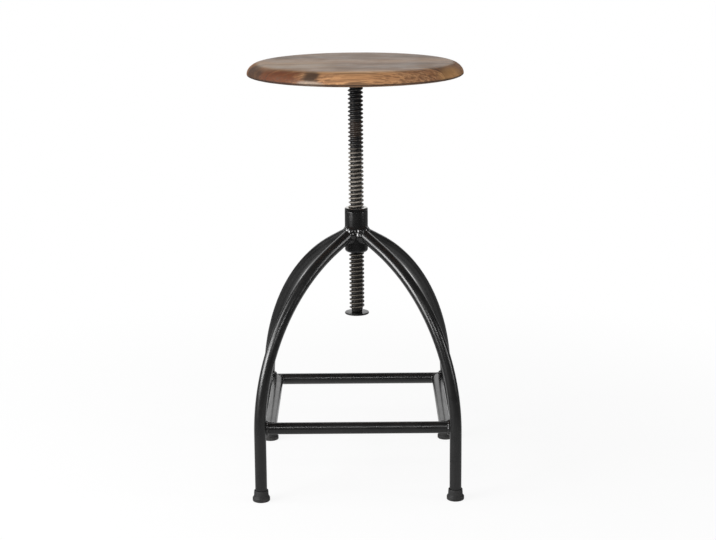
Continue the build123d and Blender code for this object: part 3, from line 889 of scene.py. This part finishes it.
# Wood screws: countersunk heads with a cross recess, flush in the plate, six on a circle.
# They are plain zinc-plated steel gone dull.
screw_circle = 0.055
screw_head = 0.0045
screw_shank = 0.00225
screw_point = 0.003
screw_tip = 0.0002
face_middle = 0.0003
cross_half = 0.00062
cross_edge = 0.0003
cross_reach = 0.0027
cross_end = 0.0006
cross_depth = 0.0014
screw_low, screw_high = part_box("seat_screws")


def screw_grid(turn, steps=64, face_rings=22):
    """Turned screw with a cross pressed in the head: inside it the face sinks by the recess depth
    times a soft cross, 1 where |across| of either bar is under half its width. The screw stands at an
    angle on the screw circle."""
    spread = np.linspace(face_middle, screw_head, face_rings)
    face = np.stack([spread, np.full(face_rings, screw_low.z)], 1)
    shank = [
        (screw_shank, screw_low.z + screw_head - screw_shank),
        (screw_shank, screw_high.z - screw_point),
        (screw_tip, screw_high.z),
    ]
    grid = turned(np.concatenate([face, shank]), steps)
    off_middle = np.abs(grid[:face_rings, :, :2])
    across = np.clip((cross_half - off_middle.min(2)) / cross_edge, 0, 1)
    along = np.clip((cross_reach - off_middle.max(2)) / cross_end, 0, 1)
    grid[:face_rings, :, 2] += cross_depth * across * along
    return grid + (screw_circle * cos(turn), screw_circle * sin(turn), 0)


screw_grids = [screw_grid(turn) for turn in np.radians(np.arange(0, 360, 60))]
screws = join("seat_screws_cross", screw_grids, "capped", 35)
fit(screws, "seat", "fastener_steel", fastener.block, "seat_screws")


# Studio: a plain white floor running out of sight and a white surround behind, dark towards the camera,
# with soft light from the front, two lights at the left, a weak one at the right and one over the camera.
# Both are white to the eye; what the paint mirrors of them is brightest straight behind the stool.
floor_span = 30.0
floor_corners = [
    (-floor_span, -floor_span, 0),
    (floor_span, -floor_span, 0),
    (floor_span, floor_span, 0),
    (-floor_span, floor_span, 0),
]
floor_mesh = bpy.data.meshes.new("floor")
floor_mesh.from_pydata(floor_corners, [], [(0, 1, 2, 3)])
floor = bpy.data.objects.new("floor", floor_mesh)
bpy.context.scene.collection.objects.link(floor)
paper = Finish(bpy.data.materials.new("studio_floor"))
paper.set(Base_Color=(0.86, 0.86, 0.86, 1), Roughness=0.9)
floor_ray = paper.node("ShaderNodeLightPath").outputs
floor_mirrored = floor_ray["Is Glossy Ray"]
floor_seen = paper.math("MAXIMUM", floor_ray["Is Camera Ray"], floor_ray["Is Transmission Ray"])
lift = paper.ramp(paper.vector("LENGTH", paper.place), 0.45, 1.3, 0.86, 1.0)
white_share = paper.math("MAXIMUM", floor_mirrored, paper.math("MULTIPLY", floor_seen, lift))
floor_back = paper.axis("Y")
floor_side = paper.math("ABSOLUTE", paper.axis("X"))
glow_front = paper.ramp(floor_back, -1.5, -0.4, 0.06, 0.38)
glow_back = paper.ramp(floor_back, -0.05, 0.35, 0.0, 0.62)
glow = paper.math("ADD", glow_front, glow_back)
glow = paper.math("MULTIPLY", glow, paper.ramp(floor_side, 0.35, 0.95, 1.0, 0.25))
glow = paper.math("MAXIMUM", glow, paper.math("SUBTRACT", 1.0, floor_mirrored))
white = paper.node("ShaderNodeEmission", {"Color": (1, 1, 1, 1), "Strength": glow}).outputs[0]
floor_blend = paper.node("ShaderNodeMixShader", {0: white_share, 1: paper.surface.outputs[0], 2: white})
paper.plug(paper.tree.nodes["Material Output"].inputs["Surface"], floor_blend.outputs[0])
coat(floor, paper.block)

sky = Finish(bpy.data.worlds.new("studio"), "Background", "Generated")
bpy.context.scene.world = sky.block
sky_ray = sky.node("ShaderNodeLightPath").outputs
sky_back = sky.axis("Y")
sky_side = sky.math("ABSOLUTE", sky.axis("X"))
behind = sky.ramp(sky_back, 0.42, 0.62)
behind = sky.math("MULTIPLY", behind, sky.ramp(sky.axis("Z"), 0.56, 0.68, 1.0, 0.0))
behind = sky.math("MULTIPLY", behind, sky.ramp(sky_side, 0.34, 0.62, 1.0, 0.08))
reflected = sky.math("MAXIMUM", behind, 0.06)
ambient = sky.ramp(sky_back, 0.55, -0.75, 0.25, 0.95)
sky_mirrored = sky.math("MAXIMUM", sky_ray["Is Glossy Ray"], sky_ray["Is Transmission Ray"])
sky_light = sky.math("MULTIPLY", sky_mirrored, reflected)
sky_shade = sky.math("MULTIPLY", sky.math("SUBTRACT", 1.0, sky_mirrored), ambient)
sky_strength = sky.math("MAXIMUM", sky.math("ADD", sky_light, sky_shade), sky_ray["Is Camera Ray"])
sky.set(Color=(1, 1, 1, 1), Strength=sky_strength)


def softbox(name, place, aim, wide, tall, power):
    """A rectangular soft light at place, turned to face aim."""
    lamp = bpy.data.lights.new(name, "AREA")
    lamp.shape = "RECTANGLE"
    lamp.size = wide
    lamp.size_y = tall
    lamp.energy = power
    holder = bpy.data.objects.new(name, lamp)
    holder.location = place
    heading = Vector(aim) - Vector(place)
    holder.rotation_euler = heading.to_track_quat("-Z", "Y").to_euler()
    bpy.context.scene.collection.objects.link(holder)


softbox("left_light", (-2.20, -1.42, 1.10), (0, 0, 0.33), 1.40, 1.00, 55)
softbox("left_high_light", (-2.35, -0.10, 1.56), (0, 0, 0.27), 1.00, 1.30, 20)
softbox("right_light", (2.60, -0.90, 1.20), (0, 0, 0.4), 0.5, 1.2, 12)
softbox("front_light", (0, -2.75, 1.90), (0, 0, 0.2), 1.2, 0.12, 9)


# Camera: the photograph's viewpoint, above the seat and tilted down, through a long lens.
# A small roll goes with the way the stool stands in the photograph.
camera_down = 12.764
camera_roll = -0.441
lens = bpy.data.cameras.new("camera")
lens.lens = 85.61
lens.sensor_width = 36.0
viewpoint = bpy.data.objects.new("camera", lens)
viewpoint.location = (0.00215, -2.74607, 0.96561)
tilt = Matrix.Rotation(radians(90 - camera_down), 3, "X")
roll = Matrix.Rotation(radians(camera_roll), 3, "Z")
viewpoint.rotation_euler = (tilt @ roll).to_euler()
bpy.context.scene.collection.objects.link(viewpoint)
bpy.context.scene.camera = viewpoint
bpy.context.scene.view_settings.view_transform = "Standard"
